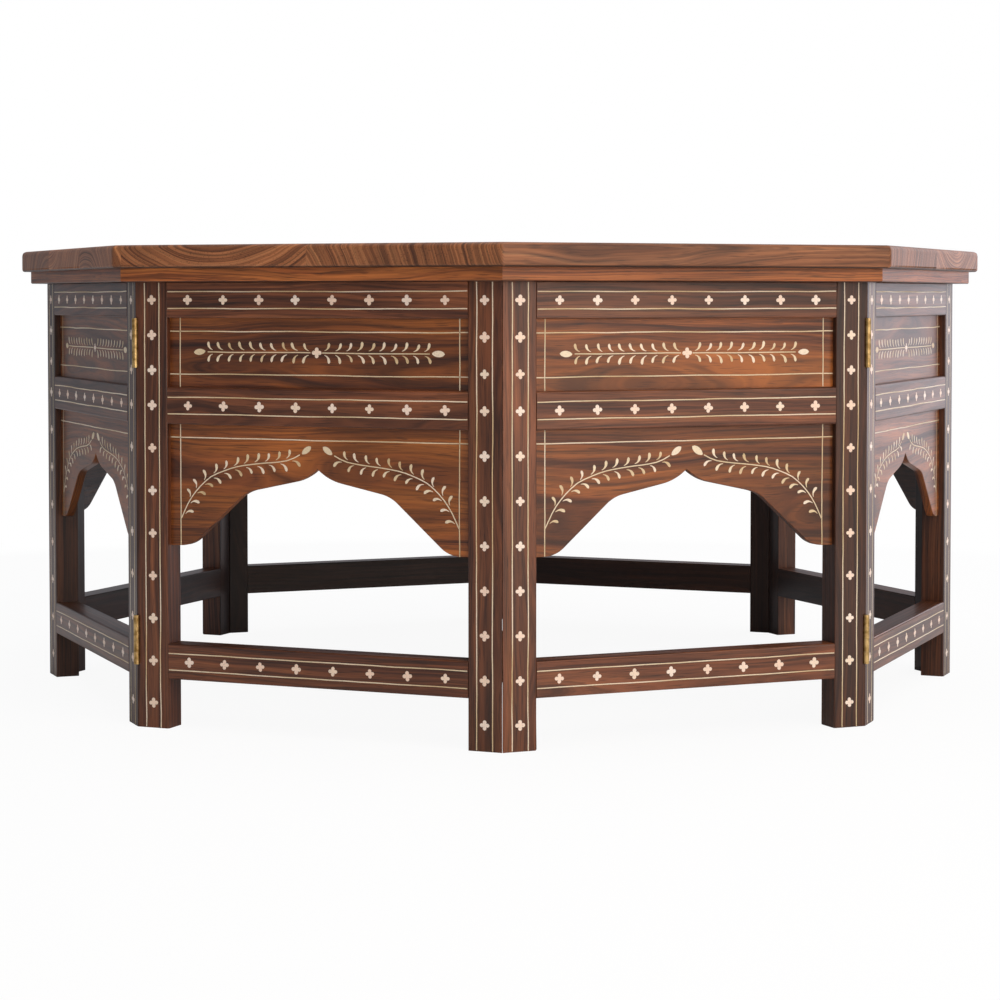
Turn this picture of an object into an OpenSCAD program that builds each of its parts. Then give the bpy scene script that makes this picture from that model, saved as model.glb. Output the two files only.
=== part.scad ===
// Octagonal low table: a loose boarded top on a base of eight hinged leaves that folds flat.
// The origin is on the floor under the middle of the top, +Z is up, and leaf 1 faces -Y.
// The leaves are numbered anticlockwise as seen from above, and each is a framed pair of panels.

/* [Table] */
// Height from the floor to the top's face
table_h = 450; // [370:1:600]
// Width of the top across two opposite flats
top_w = 940; // [760:1:1200]
// Thickness of the top's boards
top_t = 21.5; // [15:0.5:40]
// Number of boards in the top
board_count = 7; // [3:2:11]
// How far the top's edge stands out past the leaves
overhang = 24.7; // [15:0.1:45]
// Width of the glue line between two boards or two mitred strips
glue_line = 0.05; // [0.02:0.01:0.1]

/* [Frame under the top] */
// Thickness of the under frame and the battens
under_t = 12.5; // [8:0.5:25]
// How far the under frame stands in from the top's edge
under_inset = 8.9; // [4:0.1:14]
// Width of the under frame's strips
under_w = 60; // [50:1:90]
// Width of a batten
batten_w = 50; // [30:1:70]
// Distance of a batten from the under frame's inner corner
batten_corner_gap = 31; // [10:1:60]
// Gap between the loose top and the leaves under it
seat_gap = 0.1; // [0.05:0.05:0.5]

/* [Leaf frame] */
// Thickness of the stiles and rails
frame_t = 24; // [20:0.5:32]
// Width of a stile on its outer face
stile_w = 33; // [27:0.5:45]
// Height of the top rail
top_rail_h = 33; // [26:0.5:45]
// Height of the opening for the upper panel
upper_gap_h = 64; // [50:0.5:85]
// Height of the middle rail
mid_rail_h = 34.5; // [27:0.5:45]
// Height of the stretcher
stretcher_h = 33; // [26:0.5:45]
// Height of the stretcher's underside above the floor
stretcher_z = 46.5; // [35:0.5:60]
// Gap between two leaves at a closed mitre
mitre_gap = 0.4; // [0.3:0.1:1]

/* [Tenons] */
// Thickness of a tenon
tenon_t = 8; // [6:0.5:10]
// Wood left in a stile past the end of a mortise's tenon
tenon_wall = 19; // [17:0.5:22]
// Shoulder above and below a tenon
tenon_shoulder = 7; // [6:0.5:10]
// Room for glue at a tenon's end
glue_gap = 1; // [0.5:0.1:2]

/* [Panels] */
// Thickness of a panel
panel_t = 8; // [6:0.5:10]
// How far a panel's face lies behind the frame's face
recess = 6.4; // [4:0.1:8]
// Depth of a panel's groove
groove_d = 6; // [4:0.5:7]
// Gap for the wood's movement at a panel's edge
panel_gap = 1; // [0.5:0.1:2]

/* [Arch] */
// Depth of the arch's tips below the middle rail
arch_drop = 113; // [95:1:140]
// Height of the arch's point above its tips
arch_rise = 74.5; // [60:0.5:95]
// Width of the flat tip beside a stile
tip_w = 10.5; // [6:0.5:16]
// Radius of the curve that runs into the tip
foot_r = 28; // [20:1:36]
// Radius of the arch's shoulder
shoulder_r = 35; // [25:1:45]
// Radius of the curve that rises to the point
point_r = 50; // [40:1:60]
// Slope of the arch's side
side_slope = 42; // [38:1:50]
// Slope of the arch's crown
crown_slope = 12; // [8:1:16]
// Slope at the arch's point
point_slope = 43.5; // [38:0.5:48]

/* [Hinges] */
// Height of a hinge
hinge_h = 46; // [36:1:60]
// Distance of the upper hinge's middle below the top of the leaf
upper_hinge_drop = 56.5; // [45:0.5:80]
// Height of the lower hinge's middle above the floor
lower_hinge_z = 81.8; // [60:0.1:110]
// Number of knuckles on a hinge
knuckle_count = 4; // [4:2:6]
// Radius of the barrel
barrel_r = 2.75; // [2.3:0.05:3.5]
// Radius of the pin
pin_r = 1.4; // [1:0.1:1.7]
// How far the pin's axis stands out past the corner of the wood
pin_proud = 1; // [1:0.1:2]
// Clearance around the pin in the knuckles that turn on it
pin_clear = 0.05; // [0.02:0.01:0.1]
// Clearance around the pin in the one corner where the ring of leaves is opened
open_clear = 0.3; // [0.2:0.05:0.5]
// Clearance round the knuckles
knuckle_clear = 0.25; // [0.15:0.05:0.4]
// Thickness of a hinge plate
plate_t = 1.5; // [1:0.1:2]
// Width of a hinge plate from the pin's axis
plate_w = 17; // [14:0.5:20]

/* [Screws] */
// Screws in one hinge plate
screw_count = 3; // [2:1:4]
// Distance between the screws of a plate
screw_pitch = 15; // [10:0.5:20]
// Distance of a hinge screw from the pin's axis
screw_x = 10.5; // [9:0.5:12]
// Radius of a screw's shank
screw_r = 1.4; // [1:0.1:1.8]
// Radius of a screw's head
head_r = 2.9; // [2.4:0.1:3.5]
// Length of a hinge screw
hinge_screw_l = 10; // [8:0.5:12]
// Length of the screws that go up into the top
top_screw_l = 25; // [20:1:28]

/* [Hidden] */
$fn = 48;
SIDES = 8;
HALF_TURN = 180 / SIDES; // the mitre angle, and half the turn from one leaf to the next
LEAVES = [1:SIDES];
OPEN_CORNER = 6; // the leaf whose left corner isn't a joint of the moving model
ARC_STEPS = 10;
EPS = 0.01;
TENON_ROOT = 5; // how far a tenon runs back into its rail, so that the two are one solid

// A size to a thousandth of a millimetre, so that pieces that meet share the same number.
function snap(size) = round(size * 1000) / 1000;

under_z = table_h - top_t - under_t; // the underside of the loose top
base_h = under_z - seat_gap;
base_flat = top_w / 2 - overhang; // from the middle of the table to a leaf's outer face
face_half = snap(base_flat * tan(HALF_TURN)); // half the width of a leaf's outer face
bay = face_half - stile_w; // from a leaf's middle to the inner edge of its stile
top_rail_z = base_h - top_rail_h;
mid_rail_z = top_rail_z - upper_gap_h - mid_rail_h;
tip_z = mid_rail_z - arch_drop;
tenon_l = stile_w - tenon_wall;
panel_half = bay + groove_d - panel_gap;
upper_hinge_z = base_h - upper_hinge_drop;
corner_run = frame_t * tan(HALF_TURN); // how much a mitre takes off a leaf's inner face
under_flat = top_w / 2 - under_inset;
board_w = top_w / board_count;
board_turn = 45; // the boards run along the diagonal leaves
top_screw_inset = under_w / 4; // a frame screw's distance from the strip's inner edge
batten_screws = board_count - 2; // the under frame holds the two outer boards

under_in = under_flat - under_w; // from the middle of the table to the under frame's inner edge
batten_offset = snap(under_in * tan(HALF_TURN) - batten_corner_gap - batten_w / 2);

// ---- placing ----

// Puts a leaf drawn with its outer face on y = 0 and its inner side at +y in its place in the ring.
module in_leaf(k) {
    rotate([0, 0, (k - 1) * 360 / SIDES]) translate([0, -base_flat, 0]) children();
}

// Repeats a piece of the right half of a leaf on the left.
module both_sides() {
    children();
    mirror([1, 0, 0]) children();
}

// A leaf's right corner is hinged inside on odd leaves and outside on even ones, and its left
// corner the other way round.
function hinged_inside(k, right) = (k % 2 == 1) == right;

// Moves from the pin of a leaf's right or left corner, with +x along the mitre into the wood and
// +y into this leaf, to its place in the leaf.
module at_pin(k, right) {
    mirror([right ? 0 : 1, 0, 0])
        if (hinged_inside(k, right))
            translate([face_half - corner_run, frame_t, 0]) rotate([0, 0, HALF_TURN - 90])
                translate([-pin_proud, 0, 0]) mirror([0, 1, 0]) children();
        else
            translate([face_half, 0, 0]) rotate([0, 0, HALF_TURN + 90])
                translate([-pin_proud, 0, 0]) children();
}

// Repeats a piece for the upper and the lower hinge.
module at_both_hinges() {
    for (z = [lower_hinge_z, upper_hinge_z]) translate([0, 0, z]) children();
}

// Repeats a screw over one hinge plate, with +z along the screw into the wood.
module at_plate_screws() {
    for (i = [0:screw_count - 1])
        translate([screw_x, mitre_gap / 2, (i - (screw_count - 1) / 2) * screw_pitch])
            rotate([-90, 0, 0]) children();
}

// ---- leaves ----

// A tenon on the right end of a rail, or the room for it in the right stile. It starts short of
// the stile's edge by root.
module tenon(z, h, length, root) {
    translate([bay - root, recess + (panel_t - tenon_t) / 2, z + tenon_shoulder])
        cube([length + root, tenon_t, h - 2 * tenon_shoulder]);
}

module mortises() {
    for (rail = [[top_rail_z, top_rail_h], [mid_rail_z, mid_rail_h], [stretcher_z, stretcher_h]])
        tenon(rail[0], rail[1], tenon_l + glue_gap, EPS);
}

// The grooves in a stile for the edges of the two panels.
module stile_grooves() {
    translate([bay, recess, mid_rail_z + mid_rail_h - groove_d])
        cube([groove_d, panel_t, upper_gap_h + 2 * groove_d]);
    translate([bay, recess, tip_z])
        cube([groove_d, panel_t, arch_drop + groove_d]);
}

module stile_blank() {
    mitre_set_back = mitre_gap / 2 / cos(HALF_TURN);
    linear_extrude(base_h)
        polygon([[bay, 0], [face_half - mitre_set_back, 0],
                 [face_half - mitre_set_back - corner_run, frame_t], [bay, frame_t]]);
}

// The wood cut away for one hinge's plate, its barrel and its screws.
module hinge_housing() {
    translate([0, 0, -hinge_h / 2]) cube([plate_w, mitre_gap / 2 + plate_t, hinge_h]);
    cylinder(r = barrel_r + knuckle_clear, h = hinge_h + 2 * knuckle_clear, center = true);
    at_plate_screws() cylinder(r = screw_r, h = hinge_screw_l);
}

module stiles(k) {
    color("#4f2d22") in_leaf(k)
        for (right = [true, false])
            difference() {
                mirror([right ? 0 : 1, 0, 0])
                    difference() {
                        stile_blank();
                        mortises();
                        stile_grooves();
                    }
                at_pin(k, right) at_both_hinges() hinge_housing();
            }
}

module rail(z, h, groove_above, groove_below) {
    translate([0, 0, z])
        difference() {
            translate([-bay, 0, 0]) cube([2 * bay, frame_t, h]);
            if (groove_above)
                translate([-bay - EPS, recess, h - groove_d])
                    cube([2 * (bay + EPS), panel_t, groove_d + EPS]);
            if (groove_below)
                translate([-bay - EPS, recess, -EPS])
                    cube([2 * (bay + EPS), panel_t, groove_d + EPS]);
        }
    both_sides() tenon(z, h, tenon_l, TENON_ROOT);
}

module rails(k) {
    color("#5c3626") in_leaf(k) {
        rail(top_rail_z, top_rail_h, false, true);
        rail(mid_rail_z, mid_rail_h, true, true);
        rail(stretcher_z, stretcher_h, false, false);
    }
}

module upper_panel(k) {
    color("#7a4a30") in_leaf(k)
        translate([-panel_half, recess, mid_rail_z + mid_rail_h - groove_d])
            cube([2 * panel_half, panel_t, upper_gap_h + 2 * groove_d - panel_gap]);
}

// Points on an arc, counted from the straight-down direction.
function arc(middle, r, from, to) =
    [for (i = [0:ARC_STEPS]) let (a = from + (to - from) * i / ARC_STEPS)
        middle + r * [sin(a), -cos(a)]];

// The right half of the arch, from the tip to the point: a curve out of the tip, a straight side,
// a round shoulder, a straight crown and a curve up to the point. The two straight lengths are
// what the width and the rise leave.
foot_middle = [bay - tip_w, foot_r];
left_run = bay - tip_w - foot_r * sin(side_slope)
    - shoulder_r * (sin(side_slope) - sin(crown_slope))
    - point_r * (sin(point_slope) - sin(crown_slope));
left_rise = arch_rise - foot_r * (1 - cos(side_slope))
    - shoulder_r * (cos(crown_slope) - cos(side_slope))
    - point_r * (cos(crown_slope) - cos(point_slope));
side_l = (left_rise * cos(crown_slope) - left_run * sin(crown_slope))
    / sin(side_slope - crown_slope);
side_foot = foot_middle - foot_r * [sin(side_slope), cos(side_slope)];
shoulder_middle = side_foot + side_l * [-cos(side_slope), sin(side_slope)]
    - shoulder_r * [sin(side_slope), cos(side_slope)];
point_middle = [point_r * sin(point_slope), arch_rise + point_r * cos(point_slope)];

half_arch = concat(
    [[bay, 0]],
    arc(foot_middle, foot_r, 0, -side_slope),
    arc(shoulder_middle, -shoulder_r, -side_slope, -crown_slope),
    arc(point_middle, point_r, -crown_slope, -point_slope));

module arch_panel(k) {
    panel_top = arch_drop + groove_d - panel_gap;
    outline = concat(
        [[panel_half, panel_top], [panel_half, 0]],
        half_arch,
        [for (i = [len(half_arch) - 2:-1:0]) [-half_arch[i][0], half_arch[i][1]]],
        [[-panel_half, 0], [-panel_half, panel_top]]);
    color("#7a4a30") in_leaf(k)
        translate([0, recess + panel_t, tip_z]) rotate([90, 0, 0])
            linear_extrude(panel_t) polygon(outline);
}

// ---- hinges ----

// The knuckles with one parity, as rings or, grown by a clearance, as the room they need.
module knuckles(parity, r, grow) {
    step = hinge_h / knuckle_count;
    for (i = [parity:2:knuckle_count - 1])
        translate([0, 0, -hinge_h / 2 + i * step - grow]) cylinder(r = r, h = step + 2 * grow);
}

module hinge_half(parity, bore_r) {
    knuckle_gap = 0.1;
    difference() {
        union() {
            translate([0, mitre_gap / 2, -hinge_h / 2]) cube([plate_w, plate_t, hinge_h]);
            knuckles(parity, barrel_r, -knuckle_gap);
        }
        knuckles(1 - parity, barrel_r + knuckle_clear, 0);
        cylinder(r = bore_r, h = hinge_h + 2 * EPS, center = true);
        at_plate_screws() cylinder(r1 = head_r, r2 = screw_r, h = plate_t);
    }
}

// A leaf's right plates hold the pins, and its left plates turn on its neighbour's.
module hinge_plates(k) {
    left_clear = k == OPEN_CORNER ? open_clear : pin_clear;
    color("#b08d57") in_leaf(k) {
        at_pin(k, true) at_both_hinges() hinge_half(0, pin_r);
        at_pin(k, false) at_both_hinges() hinge_half(1, pin_r + left_clear);
    }
}

module hinge_pins(k) {
    color("#a5824e") in_leaf(k)
        at_pin(k, true) at_both_hinges() cylinder(r = pin_r, h = hinge_h, center = true);
}

module hinge_screws(k) {
    color("#c2a36b") in_leaf(k)
        for (right = [true, false])
            at_pin(k, right) at_both_hinges() at_plate_screws() {
                cylinder(r1 = head_r, r2 = screw_r, h = plate_t);
                translate([0, 0, plate_t]) cylinder(r = screw_r, h = hinge_screw_l - plate_t);
            }
}

// ---- top ----

// A regular octagon with flats that face the axes, given from its middle to a flat.
module octagon(flat) {
    rotate(HALF_TURN) circle(r = flat / cos(HALF_TURN), $fn = SIDES);
}

module top_board_blanks() {
    for (i = [0:board_count - 1])
        intersection() {
            translate([0, 0, table_h - top_t]) linear_extrude(top_t) octagon(top_w / 2);
            rotate([0, 0, board_turn])
                translate([-top_w, -top_w / 2 + i * board_w + glue_line / 2, table_h - top_t])
                    cube([2 * top_w, board_w - glue_line, top_t]);
        }
}

// The screws stand in the strips and battens with their heads at the bottom, +z up.
module at_top_screws() {
    strip_in = under_in + top_screw_inset;
    for (i = [0:SIDES - 1], side = [-1, 1])
        rotate([0, 0, i * 360 / SIDES])
            translate([side * strip_in * tan(HALF_TURN) / 2, -strip_in, under_z]) children();
    for (row = [-1, 1], i = [0:batten_screws - 1])
        rotate([0, 0, board_turn])
            translate([row * batten_offset, (i - (batten_screws - 1) / 2) * board_w, under_z])
                children();
}

// A countersunk screw, or the room for it.
module top_screw() {
    head_h = head_r - screw_r;
    cylinder(r1 = head_r, r2 = screw_r, h = head_h);
    translate([0, 0, head_h]) cylinder(r = screw_r, h = top_screw_l - head_h);
}

module top_boards() {
    color("#8a5a38")
        difference() {
            top_board_blanks();
            at_top_screws() top_screw();
        }
}

module under_frame() {
    set_back = glue_line / 2 / cos(HALF_TURN);
    outer_half = under_flat * tan(HALF_TURN) - set_back;
    inner_half = under_in * tan(HALF_TURN) - set_back;
    color("#6b4029")
        difference() {
            for (i = [0:SIDES - 1])
                rotate([0, 0, i * 360 / SIDES]) translate([0, 0, under_z]) linear_extrude(under_t)
                    polygon([[-outer_half, -under_flat], [outer_half, -under_flat],
                             [inner_half, -under_in], [-inner_half, -under_in]]);
            at_top_screws() top_screw();
        }
}

module battens() {
    length = 2 * under_in;
    color("#6b4029")
        difference() {
            rotate([0, 0, board_turn])
                for (side = [-1, 1])
                    translate([side * batten_offset - batten_w / 2, -length / 2, under_z])
                        cube([batten_w, length, under_t]);
            at_top_screws() top_screw();
        }
}

module top_screws() {
    color("#c2a36b") at_top_screws() top_screw();
}

for (k = LEAVES) {
    stiles(k);
    rails(k);
    upper_panel(k);
    arch_panel(k);
    hinge_plates(k);
    hinge_pins(k);
    hinge_screws(k);
}
top_boards();
under_frame();
battens();
top_screws();
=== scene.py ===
"""A low octagonal table of polished sheesham, inlaid with camel bone.

A loose boarded top rests on a base of eight leaves, hinged into a ring that folds flat. Each leaf
is two stiles and three rails round two thin panels, the lower one cut to an ogee arch. Leaf 1
faces -Y, and the leaves are numbered anticlockwise as seen from above.

A leaf's own axes: x to the right along its outer face, y inwards from that face, z up. The inlay
is drawn flat: x along the leaf, y up the leaf, z outwards from its face.
"""

import math

import bmesh
import bpy
import numpy as np
from mathutils import Matrix, Vector


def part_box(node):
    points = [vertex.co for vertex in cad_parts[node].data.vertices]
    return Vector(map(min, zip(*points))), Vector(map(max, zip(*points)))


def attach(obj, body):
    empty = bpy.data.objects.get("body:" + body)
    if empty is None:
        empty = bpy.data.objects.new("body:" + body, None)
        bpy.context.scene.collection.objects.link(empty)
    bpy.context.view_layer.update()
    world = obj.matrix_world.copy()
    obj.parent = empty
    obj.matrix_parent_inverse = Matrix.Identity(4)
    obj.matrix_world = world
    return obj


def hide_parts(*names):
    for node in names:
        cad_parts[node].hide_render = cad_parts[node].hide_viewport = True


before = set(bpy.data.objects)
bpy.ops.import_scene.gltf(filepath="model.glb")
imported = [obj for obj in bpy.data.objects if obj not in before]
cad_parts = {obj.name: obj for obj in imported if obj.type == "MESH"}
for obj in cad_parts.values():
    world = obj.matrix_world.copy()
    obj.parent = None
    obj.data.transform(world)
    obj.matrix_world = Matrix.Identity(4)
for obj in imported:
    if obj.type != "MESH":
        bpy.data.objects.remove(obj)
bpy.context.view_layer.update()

MM = 0.001
SIDES = 8
HALF_TURN = math.pi / SIDES
LEAVES = range(1, SIDES + 1)
BOARD_TURN = math.radians(45)  # the top's boards run along the diagonal leaves
RIGHT_ANGLE = math.pi / 2


# ---- sizes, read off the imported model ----

stile_low, stile_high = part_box("stiles_1")
LEAF_FLAT = -stile_low.y  # from the middle of the table to a leaf's outer face
FRAME_T = stile_high.y - stile_low.y
LEAF_H = stile_high.z
panel_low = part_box("arch_panel_1")[0]
RECESS = panel_low.y + LEAF_FLAT
TIP_Z = panel_low.z
TOP_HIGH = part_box("top_boards")[1]
TOP_FLAT = TOP_HIGH.y
UNDER_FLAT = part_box("under_frame")[1].y


def leaf_place(k):
    """Puts a leaf's own axes in their place in the ring."""
    turn = Matrix.Rotation((k - 1) * 2 * HALF_TURN, 4, "Z")
    return turn @ Matrix.Translation((0, -LEAF_FLAT, 0))


# ---- trees ----

def add_node(tree, kind, inputs=(), **settings):
    """Adds a node, makes its settings, and sets or links its inputs by name or number."""
    made = tree.nodes.new(kind)
    for name, value in settings.items():
        setattr(made, name, value)
    for name, value in dict(inputs).items():
        if isinstance(value, bpy.types.NodeSocket):
            tree.links.new(value, made.inputs[name])
        else:
            made.inputs[name].default_value = value
    return made


def paint(hex_code):
    """A colour from its sRGB hex code, as linear red, green, blue and alpha."""
    parts = [int(hex_code[i:i + 2], 16) / 255 for i in (1, 3, 5)]
    return [p / 12.92 if p <= 0.04045 else ((p + 0.055) / 1.055) ** 2.4 for p in parts] + [1]


def fill_ramp(ramp, stops):
    """Gives a colour ramp its stops, each a place from 0 to 1 and a hex code."""
    elements = ramp.color_ramp.elements
    while len(elements) < len(stops):
        elements.new(1)
    for element, (place, hex_code) in zip(elements, stops):
        element.position = place
        element.color = paint(hex_code)


def new_material(name):
    """A material with a node tree, and its Principled shader."""
    material = bpy.data.materials.new(name)
    material.use_nodes = True
    return material, material.node_tree, material.node_tree.nodes["Principled BSDF"]


# ---- finishes ----

def sheesham(name, stops, figure_mm=7, polish=0.4, coat=0.15):
    """Sheesham, or Indian rosewood, planed, stained and hand polished with wax.

    The heartwood runs from golden brown to nearly black in streaks that follow the growth rings,
    so a long face shows streaks and an end shows arcs. The pores are open and leave short dark
    dashes along the grain. The polish gives a satin gloss that wavers a little, because the faces
    are finished by hand. The piece's "grain" attribute holds each point's place in its own plank,
    in metres: along the grain, and across it from the heart of the tree.
    """
    material, tree, shader = new_material(name)
    grain = add_node(tree, "ShaderNodeAttribute", attribute_name="grain").outputs["Vector"]
    tone = add_node(tree, "ShaderNodeAttribute", attribute_name="tone").outputs["Fac"]
    inner = add_node(tree, "ShaderNodeAttribute", attribute_name="inner").outputs["Fac"]

    # The rings wander by up to 8 mm over a hand's breadth.
    slow = add_node(tree, "ShaderNodeVectorMath",
                    {0: grain, 1: (3.5, 11, 11)}, operation="MULTIPLY")
    drift = add_node(tree, "ShaderNodeTexNoise",
                     {"Vector": slow.outputs[0], "Scale": 1, "Detail": 2})
    drift = add_node(tree, "ShaderNodeVectorMath",
                     {0: drift.outputs["Color"], 1: (0.5, 0.5, 0.5)}, operation="SUBTRACT")
    drift = add_node(tree, "ShaderNodeVectorMath",
                     {0: drift.outputs[0], 1: (0, 0.016, 0.016)}, operation="MULTIPLY")
    wandered = add_node(tree, "ShaderNodeVectorMath", {0: grain, 1: drift.outputs[0]}).outputs[0]
    across = add_node(tree, "ShaderNodeVectorMath",
                      {0: wandered, 1: (0, 1, 1)}, operation="MULTIPLY")
    radius = add_node(tree, "ShaderNodeVectorMath",
                      {0: across.outputs[0]}, operation="LENGTH").outputs["Value"]
    along = add_node(tree, "ShaderNodeSeparateXYZ", {0: wandered}).outputs["X"]
    ring = add_node(tree, "ShaderNodeCombineXYZ", {"X": along, "Y": radius}).outputs[0]

    def layer(source, per_metre, detail, roughness):
        """Noise over the plank, with that many waves per metre along each axis."""
        scaled = add_node(tree, "ShaderNodeVectorMath",
                          {0: source, 1: per_metre}, operation="MULTIPLY")
        return add_node(tree, "ShaderNodeTexNoise",
                        {"Vector": scaled.outputs[0], "Scale": 1, "Detail": detail,
                         "Roughness": roughness}).outputs["Fac"]

    figure = layer(ring, (1.4, 1000 / figure_mm, 1), 6, 0.68)
    # The lines are 1.6 mm apart, coarser than the real ones, so that they show.
    lines = layer(ring, (6, 620, 1), 3, 0.65)
    pores = layer(grain, (45, 850, 850), 1, 0.5)  # 1.2 mm by 22 mm, for the same reason
    waver = layer(grain, (14, 24, 24), 1, 0.5)  # 40 mm

    streaks = add_node(tree, "ShaderNodeValToRGB", {"Fac": figure})
    fill_ramp(streaks, stops)
    line_shade = add_node(tree, "ShaderNodeMapRange",
                          {"Value": lines, "From Min": 0.36, "From Max": 0.6,
                           "To Min": 0.4, "To Max": 1.16})
    pore_shade = add_node(tree, "ShaderNodeMapRange",
                          {"Value": pores, "From Min": 0.6, "From Max": 0.7,
                           "To Min": 1, "To Max": 0.55})
    shade = add_node(tree, "ShaderNodeMath",
                     {0: line_shade.outputs[0], 1: pore_shade.outputs[0]}, operation="MULTIPLY")
    plank = add_node(tree, "ShaderNodeMapRange",
                     {"Value": tone, "From Min": -2, "From Max": 2, "To Min": 0.43, "To Max": 1.6})
    shade = add_node(tree, "ShaderNodeMath",
                     {0: shade.outputs[0], 1: plank.outputs[0]}, operation="MULTIPLY")
    # Where the plank took more or less stain, in clouds 60 to 150 mm across.
    clouds = add_node(tree, "ShaderNodeMapRange",
                      {"Value": layer(grain, (7, 16, 16), 2, 0.5), "From Min": 0.3,
                       "From Max": 0.7, "To Min": 0.72, "To Max": 1.3})
    shade = add_node(tree, "ShaderNodeMath",
                     {0: shade.outputs[0], 1: clouds.outputs[0]}, operation="MULTIPLY")
    wood = add_node(tree, "ShaderNodeVectorMath",
                    {0: streaks.outputs["Color"], "Scale": shade.outputs[0]}, operation="SCALE")
    # Painted shade: the sides that face into the table, and the undersides of the top, are darkened
    # towards near-black, standing in for the shadow there.
    inside_shade_amount = add_node(tree, "ShaderNodeMath", {0: inner, 1: 0.72}, operation="MULTIPLY")
    inside_shade_mix = add_node(tree, "ShaderNodeMix",
                     {0: inside_shade_amount.outputs[0], 6: wood.outputs[0], 7: paint("#1c0f09")},
                     data_type="RGBA")
    tree.links.new(inside_shade_mix.outputs[2], shader.inputs["Base Color"])

    gloss = add_node(tree, "ShaderNodeMapRange",
                     {"Value": figure, "From Min": 0.25, "From Max": 0.75,
                      "To Min": polish + 0.08, "To Max": polish - 0.06})
    tree.links.new(gloss.outputs[0], shader.inputs["Roughness"])
    shader.inputs["IOR"].default_value = 1.5
    shader.inputs["Specular IOR Level"].default_value = 0.38
    shader.inputs["Coat Weight"].default_value = coat
    shader.inputs["Coat Roughness"].default_value = 0.25
    wave = add_node(tree, "ShaderNodeBump", {"Height": waver, "Strength": 1, "Distance": 0.0007})
    cut = add_node(tree, "ShaderNodeMath",
                   {0: lines, 1: pore_shade.outputs[0]}, operation="MULTIPLY")
    pitted = add_node(tree, "ShaderNodeBump",
                      {"Height": cut.outputs[0], "Strength": 0.8, "Distance": 0.00025,
                       "Normal": wave.outputs[0]})
    tree.links.new(pitted.outputs[0], shader.inputs["Normal"])
    return material


def camel_bone():
    """Camel bone, sawn thin, cut to shape, set in the wood and rubbed flush.

    It is warm ivory, and each piece is a little pinker, yellower or greyer than the next. Fine
    canals along the bone hold dark polish, and the face has a dull shine.
    """
    material, tree, shader = new_material("polished_camel_bone")
    tone = add_node(tree, "ShaderNodeAttribute", attribute_name="tone").outputs["Fac"]
    place = add_node(tree, "ShaderNodeTexCoord").outputs["Object"]
    hue = add_node(tree, "ShaderNodeValToRGB", {"Fac": tone})
    fill_ramp(hue, [(0, "#b08e62"), (0.2, "#c8ac80"), (0.3, "#d6c09a"), (0.45, "#e4d2b4"),
                    (0.6, "#e8d6c0"), (0.75, "#eaccb6"), (1, "#eedccc")])
    canals = add_node(tree, "ShaderNodeTexNoise", {"Vector": place, "Scale": 700, "Detail": 2})
    dirt = add_node(tree, "ShaderNodeMapRange",
                    {"Value": canals.outputs["Fac"], "From Min": 0.55, "From Max": 0.75,
                     "To Min": 1, "To Max": 0.72})
    shaded = add_node(tree, "ShaderNodeVectorMath",
                      {0: hue.outputs["Color"], "Scale": dirt.outputs[0]}, operation="SCALE")
    tree.links.new(shaded.outputs[0], shader.inputs["Base Color"])
    shader.inputs["Roughness"].default_value = 0.38
    shader.inputs["IOR"].default_value = 1.54
    bump = add_node(tree, "ShaderNodeBump",
                    {"Height": canals.outputs["Fac"], "Strength": 0.3, "Distance": 0.0001})
    tree.links.new(bump.outputs[0], shader.inputs["Normal"])
    return material


def aged_brass(name, bright, tarnish):
    """Sheet brass, pressed and rolled into a hinge or turned into a screw, gone dull with age.

    It is a yellow metal with brown tarnish in patches 6 mm across and fine scuffs.
    """
    material, tree, shader = new_material(name)
    place = add_node(tree, "ShaderNodeTexCoord").outputs["Object"]
    patches = add_node(tree, "ShaderNodeTexNoise",
                       {"Vector": place, "Scale": 160, "Detail": 4,
                        "Roughness": 0.6}).outputs["Fac"]
    colour = add_node(tree, "ShaderNodeValToRGB", {"Fac": patches})
    fill_ramp(colour, [(0.32, tarnish), (0.6, bright)])
    scuffs = add_node(tree, "ShaderNodeTexNoise", {"Vector": place, "Scale": 1500, "Detail": 1})
    rough = add_node(tree, "ShaderNodeMapRange",
                     {"Value": patches, "From Min": 0.3, "From Max": 0.7,
                      "To Min": 0.5, "To Max": 0.28})
    bump = add_node(tree, "ShaderNodeBump",
                    {"Height": scuffs.outputs["Fac"], "Strength": 0.3, "Distance": 0.00008})
    tree.links.new(colour.outputs["Color"], shader.inputs["Base Color"])
    tree.links.new(rough.outputs[0], shader.inputs["Roughness"])
    tree.links.new(bump.outputs[0], shader.inputs["Normal"])
    shader.inputs["Metallic"].default_value = 1
    return material


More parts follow.
